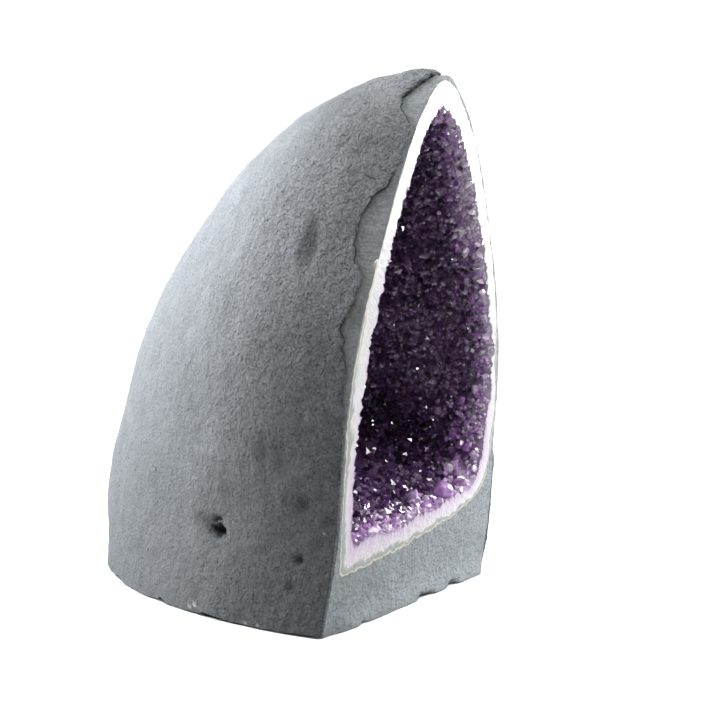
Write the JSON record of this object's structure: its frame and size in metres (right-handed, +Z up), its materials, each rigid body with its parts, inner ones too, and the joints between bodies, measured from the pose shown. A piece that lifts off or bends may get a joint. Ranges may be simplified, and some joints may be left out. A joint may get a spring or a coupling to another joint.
{
  "type": "amethyst geode",
  "caption": "Upright cathedral geode sawn open on a flat base: grey coated back, pale agate and quartz rim, and a deep pocket lined with purple amethyst points.",
  "frame": {"origin": "middle of the bounding box's footprint, on the ground under the flat base", "axes": "+Z up, -Y out of the sawn opening, +Y towards the coated back, +X to the right when looking into the opening"},
  "size_m": [0.227, 0.2886, 0.3576],
  "materials": {
    "coat": "sandy grey cement render, matt, trowelled, with small pits and a cracked edge",
    "rock": "sawn grey basalt, matt, with dark specks and small chips",
    "agate": "sawn grey-green chalcedony with thin cream lines, satin",
    "amethyst": "see-through purple quartz points on a white to lilac quartz layer, glossy"
  },
  "bodies": {
    "root": {"cement_coat": "coat", "rock_shell": "rock", "agate_rind": "agate", "amethyst_crystals": "amethyst"}
  },
  "joints": []
}
